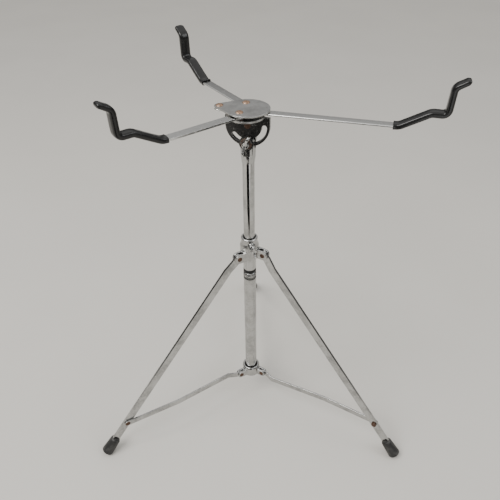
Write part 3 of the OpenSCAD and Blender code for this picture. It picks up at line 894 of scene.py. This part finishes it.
def build_sleeves():
    vinyl = finish("vinyl", vinyl_finish)
    middle = Vector((0.0, 0.0, 0.0))
    table = (
        ("fixed", FIXED_REACH, middle, 0, "basket", 1.3, 0.0),
        ("left", SWING_REACH, swing_pivot("left_arm_swing"), 180 + LEFT_SWING, "left_arm_body", 4.1, 0.0),
        ("rear", SWING_REACH, swing_pivot("rear_arm_swing"), 180 - REAR_SWING, "rear_arm_body", 7.7, 3.4),
    )
    for side, reach, pivot, turn, body, seed, crease in table:
        bearing = BASKET_TURN + math.radians(turn)
        mesh = sleeve_mesh(side + "_vinyl", reach, pivot, bearing, seed, crease)
        new_piece(side + "_vinyl_sleeve", mesh, vinyl, body, "vinyl", side + "_sleeve")


def build_plates():
    edge = sizes().edge_round
    satin = finish("plate_chrome", plate_finish)
    filed("pear_plate", "top_plate", satin, "basket", "plate_chrome", edge * 1.6, 4)
    filed("round_plate", "lower_plate", satin, "basket", "plate_chrome", edge * 1.5, 3)
    filed("tail_collar", "tail_spacer", cast_chrome(), "basket", "cast_chrome", 0.3 * MM)
    black = finish("black_paint", paint_finish)
    filed("slotted_plate", "tilter_plate", black, "basket", "black_paint", edge * 1.5, 3)


def riveted(tree, name, rivets, material, body, slot, node, head, tail, dome):
    """A piece of rivets, each given as (foot of the shank, axis, grip)."""
    mesh = tree.mesh(rivet_points(name + "_points", rivets), Head_Radius=head, Head_Height=dome,
                     Shank_Radius=RIVET_SHANK, Tail_Radius=tail, Material=material)
    new_piece(name, mesh, material, body, slot, node)


def build_rivets():
    s = sizes()
    tree = rivet_tree()
    copper = finish("copper_rivet", copper_finish)
    rust = finish("rusty_steel", rusty_finish)
    stack = []
    for joint in ("left_arm_swing", "rear_arm_swing"):
        x, y, _ = JOINTS[joint]["pos_m"]
        stack.append((Vector((x, y, LOW_FOOT)), UP, PLATE_TOP - LOW_FOOT))
    tail = Matrix.Rotation(BASKET_TURN, 3, "Z") @ Vector((TAIL_PLACE, 0, TAIL_FOOT))
    stack.append((tail, UP, PLATE_TOP - TAIL_FOOT))
    riveted(tree, "copper_rivets", stack, copper, "basket", "copper_rivet", "basket_rivets",
            s.rivet_head, COPPER_TAIL, s.rivet_dome)
    for name, joint, offset, half, body, node in (
        ("collar_rivets", "{}_leg_fold", 5.0, 5.0, "column", "hub_rivets"),
        ("slider_rivets", "{}_brace_fold", 2.0, 4.5, "brace_hub", "sliding_hub_rivets"),
    ):
        row = []
        for side in LEG_SIDES:
            j = JOINTS[joint.format(side)]
            axis = Vector(j["axis"])
            row.append((Vector(j["pos_m"]) + axis * (offset - half) * MM, axis, 2 * half * MM))
        riveted(tree, name, row, rust, body, "rusty_steel", node, STEEL_HEAD, STEEL_HEAD, STEEL_DOME)
    pivot = Vector(JOINTS["basket_tilt"]["pos_m"])
    row = [(pivot - TILT_AXIS * TILT_FOOT, TILT_AXIS, TILT_GRIP)]
    riveted(tree, "tilt_rivet", row, rust, "basket", "rusty_steel", "tilter_pivot_rivet",
            TILT_HEAD, TILT_HEAD, STEEL_DOME)
    for side in LEG_SIDES:
        filed(side + "_stud", side + "_leg_stud", rust, side + "_leg_body", "rusty_steel", 0.4 * MM)
        filed(side + "_cross_rivet", side + "_brace_rivet", rust, side + "_brace_body", "rusty_steel",
              0.3 * MM)
    bare = finish("rusty_washer", rusty_finish, bare=0.16)
    for side in ("left", "rear"):
        filed(side + "_pivot_washers", side + "_washers", bare, "basket", "rusty_steel", 0.25 * MM)
    filed("clamp_washer", "tilter_washer", bare, "mast", "rusty_steel", 0.3 * MM)


def curled(axis_point, axis, span, amount):
    """Moves the ends of a pair of wings sideways, one each way."""
    side = axis.cross(span).normalized()

    def shape(point):
        reach = (point - axis_point).dot(span)
        beyond = max(0.0, abs(reach) - CURL_START) / CURL_SCALE
        return point + side * amount * beyond * beyond * (1 if reach > 0 else 0.8)

    return shape


def build_wing_screws():
    cast = finish("wing_chrome", chrome_finish, haze=0.10, rust_amount=0.03, grain=CAST_GRAIN)
    grain = sizes().casting_grain * 0.7
    screw = JOINTS["tilter_screw_turn"]
    axis = Vector(screw["axis"])
    shape = curled(Vector(screw["pos_m"]), axis, Matrix.Rotation(WING_LEAN, 3, axis) @ UP, CURL)
    new_piece("tilt_wing_screw", cast_mesh("tilter_wing_screw", grain, 6, shape), cast, "tilter_screw_body",
              "cast_chrome", "tilter_wing_screw")
    new_piece("height_wings", cast_mesh("height_wing_screw", grain, 6), cast, "height_screw_body",
              "cast_chrome", "height_wing_screw")


# ---------------------------------------------------------------- stage


# The sky's brightness at heights from straight down (0) to straight up (1), and what the camera sees
SKY_TONES = ((0.0, 0.55), (0.42, 0.50), (0.52, 0.10), (0.66, 0.16), (0.80, 0.85), (1.0, 1.0))
SEEN_SKY = (0.62, 0.61, 0.59)
# Name, middle of the lower edge, turn in degrees, width, height, tone and glow of each card
CARDS = (
    ("dark_card", (-0.10, -0.50, 0.0), 4, 0.46, 0.42, 0.010, 1.0),
    ("dark_side_card", (0.75, -0.35, 0.0), -62, 0.30, 0.40, 0.03, 1.0),
    ("white_card", (0.22, -0.62, 0.0), -20, 0.16, 0.45, 1.0, 1.7),
)


def area_light(name, place, target, width, height, power, colour):
    data = bpy.data.lights.new(name, "AREA")
    data.shape = "RECTANGLE"
    data.size = width
    data.size_y = height
    data.energy = power
    data.color = colour
    light = bpy.data.objects.new(name, data)
    bpy.context.scene.collection.objects.link(light)
    light.location = place
    light.rotation_euler = (Vector(target) - Vector(place)).to_track_quat("-Z", "Y").to_euler()


def build_sky(strength):
    """Even soft light, with a darker wall round the horizon that gives the chrome its contrast."""
    world = bpy.data.worlds.new("studio")
    bpy.context.scene.world = world
    world.use_nodes = True
    n = Nodes(world.node_tree)
    n.tree.nodes.clear()
    split = n.node("ShaderNodeSeparateXYZ", {}, n.node("ShaderNodeTexCoord").outputs["Generated"])
    height = n.out("ShaderNodeMapRange", {}, Value=split.outputs["Z"], From_Min=-1.0)
    ramp = n.node("ShaderNodeValToRGB", {}, height)
    while len(ramp.color_ramp.elements) < len(SKY_TONES):
        ramp.color_ramp.elements.new(0.5)
    for element, (position, tone) in zip(ramp.color_ramp.elements, SKY_TONES):
        element.position = position
        element.color = (tone, tone * 0.99, tone * 0.97, 1.0)
    light = n.out("ShaderNodeBackground", {}, Color=ramp.outputs[0], Strength=strength)
    seen = n.out("ShaderNodeBackground", {}, Color=SEEN_SKY)
    camera_ray = n.node("ShaderNodeLightPath").outputs["Is Camera Ray"]
    n.node("ShaderNodeOutputWorld", {}, n.out("ShaderNodeMixShader", {}, camera_ray, light, seen))


def build_camera():
    s = stage_settings()
    place = Vector((s.distance * math.sin(s.bearing), -s.distance * math.cos(s.bearing), s.height))
    heading = math.pi / 2 + s.bearing - s.aim
    level = math.cos(s.pitch)
    ahead = Vector((math.cos(heading) * level, math.sin(heading) * level, -math.sin(s.pitch)))
    right = ahead.cross(UP).normalized()
    up = right.cross(ahead)
    across = math.cos(s.roll) * right + math.sin(s.roll) * up
    top = across.cross(ahead)
    data = bpy.data.cameras.new("camera")
    data.lens = s.lens
    data.sensor_width = 36.0
    camera = bpy.data.objects.new("camera", data)
    bpy.context.scene.collection.objects.link(camera)
    camera.matrix_world = Matrix((
        (across.x, top.x, -ahead.x, place.x),
        (across.y, top.y, -ahead.y, place.y),
        (across.z, top.z, -ahead.z, place.z),
        (0, 0, 0, 1),
    ))
    bpy.context.scene.camera = camera


def reflector(name, place, turn, width, height, tone, glow):
    """A card that only the polished pieces see."""
    mesh = bpy.data.meshes.new(name)
    bm = bmesh.new()
    spin = Matrix.Rotation(turn, 3, "Z")
    corners = [Vector((x * width / 2, 0.0, z * height)) for x, z in ((-1, 0), (1, 0), (1, 1), (-1, 1))]
    bm.faces.new([bm.verts.new(spin @ corner + Vector(place)) for corner in corners])
    bm.to_mesh(mesh)
    bm.free()
    f = Finish(name)
    f.feed(f.output.inputs["Surface"], f.out("ShaderNodeEmission", {}, (tone, tone, tone), glow))
    mesh.materials.append(f.material)
    card = bpy.data.objects.new(name, mesh)
    bpy.context.scene.collection.objects.link(card)
    card.visible_camera = False
    card.visible_diffuse = False
    card.visible_shadow = False


def build_stage():
    s = stage_settings()
    mesh = bpy.data.meshes.new("floor")
    bm = bmesh.new()
    bmesh.ops.create_grid(bm, x_segments=4, y_segments=4, size=4.0)
    bm.to_mesh(mesh)
    bm.free()
    mesh.materials.append(finish("floor", floor_finish))
    floor = bpy.data.objects.new("floor", mesh)
    bpy.context.scene.collection.objects.link(floor)
    area_light("key_light", (-1.3, -1.0, 2.3), (0, 0, 0.2), 1.8, 1.4, s.key_power, (1.0, 0.985, 0.96))
    area_light("fill_light", (1.7, -0.5, 1.7), (0, 0, 0.3), 1.2, 1.2, s.fill_power, (0.96, 0.98, 1.0))
    for name, place, turn, width, height, tone, glow in CARDS:
        reflector(name, place, math.radians(turn), width, height, tone, glow)
    build_sky(s.sky)
    build_camera()


# ---------------------------------------------------------------- operators


class STAND_OT_tubes(Operator):
    """Column and mast tubes, the lower plug and the bush."""

    bl_idname = "stand.tubes"
    bl_label = "Tubes"

    def execute(self, context):
        build_tubes()
        return {"FINISHED"}


class STAND_OT_knurl(Operator):
    """Knurled grip band on the lower tube."""

    bl_idname = "stand.knurl"
    bl_label = "Grip band"

    def execute(self, context):
        build_knurl()
        return {"FINISHED"}


class STAND_OT_castings(Operator):
    """Top collar, sliding collar and tilter fork."""

    bl_idname = "stand.castings"
    bl_label = "Castings"

    def execute(self, context):
        build_castings()
        return {"FINISHED"}


class STAND_OT_strips(Operator):
    """Legs, braces and arms."""

    bl_idname = "stand.strips"
    bl_label = "Strips"

    def execute(self, context):
        build_strips()
        return {"FINISHED"}


class STAND_OT_feet(Operator):
    """Rubber feet."""

    bl_idname = "stand.feet"
    bl_label = "Feet"

    def execute(self, context):
        build_feet()
        return {"FINISHED"}


class STAND_OT_sleeves(Operator):
    """Vinyl sleeves on the arms."""

    bl_idname = "stand.sleeves"
    bl_label = "Sleeves"

    def execute(self, context):
        build_sleeves()
        return {"FINISHED"}


class STAND_OT_plates(Operator):
    """Basket plates, tail spacer and the slotted tilter plate."""

    bl_idname = "stand.plates"
    bl_label = "Plates"

    def execute(self, context):
        build_plates()
        return {"FINISHED"}


class STAND_OT_rivets(Operator):
    """Rivets, studs and washers."""

    bl_idname = "stand.rivets"
    bl_label = "Rivets and washers"

    def execute(self, context):
        build_rivets()
        return {"FINISHED"}


class STAND_OT_wing_screws(Operator):
    """Tilt and height wing screws."""

    bl_idname = "stand.wing_screws"
    bl_label = "Wing screws"

    def execute(self, context):
        build_wing_screws()
        return {"FINISHED"}


class STAND_OT_stage(Operator):
    """Floor, lights and camera."""

    bl_idname = "stand.stage"
    bl_label = "Stage"

    def execute(self, context):
        build_stage()
        return {"FINISHED"}


OPERATORS = (STAND_OT_tubes, STAND_OT_knurl, STAND_OT_castings, STAND_OT_strips, STAND_OT_feet,
             STAND_OT_sleeves, STAND_OT_plates, STAND_OT_rivets, STAND_OT_wing_screws, STAND_OT_stage)


class STAND_PT_panel(Panel):
    """Builds each group of the stand's pieces."""

    bl_idname = "STAND_PT_panel"
    bl_label = "Drum Stand"
    bl_space_type = "VIEW_3D"
    bl_region_type = "UI"
    bl_category = "Drum Stand"

    def draw(self, context):
        layout = self.layout
        for group in (context.scene.stand_sizes, context.scene.stand_colours, context.scene.stand_stage):
            box = layout.box()
            for name in group.__annotations__:
                box.prop(group, name)
        for operator in OPERATORS:
            layout.operator(operator.bl_idname)


CLASSES = (StandSizes, StandColours, StandStage, *OPERATORS, STAND_PT_panel)


def register():
    for cls in CLASSES:
        bpy.utils.register_class(cls)
    bpy.types.Scene.stand_sizes = PointerProperty(type=StandSizes)
    bpy.types.Scene.stand_colours = PointerProperty(type=StandColours)
    bpy.types.Scene.stand_stage = PointerProperty(type=StandStage)


def unregister():
    del bpy.types.Scene.stand_stage
    del bpy.types.Scene.stand_colours
    del bpy.types.Scene.stand_sizes
    for cls in reversed(CLASSES):
        bpy.utils.unregister_class(cls)


def main():
    register()
    bpy.ops.stand.stage()
    bpy.ops.stand.tubes()
    bpy.ops.stand.knurl()
    bpy.ops.stand.castings()
    bpy.ops.stand.strips()
    bpy.ops.stand.feet()
    bpy.ops.stand.sleeves()
    bpy.ops.stand.plates()
    bpy.ops.stand.rivets()
    bpy.ops.stand.wing_screws()


if __name__ == "__main__":
    main()
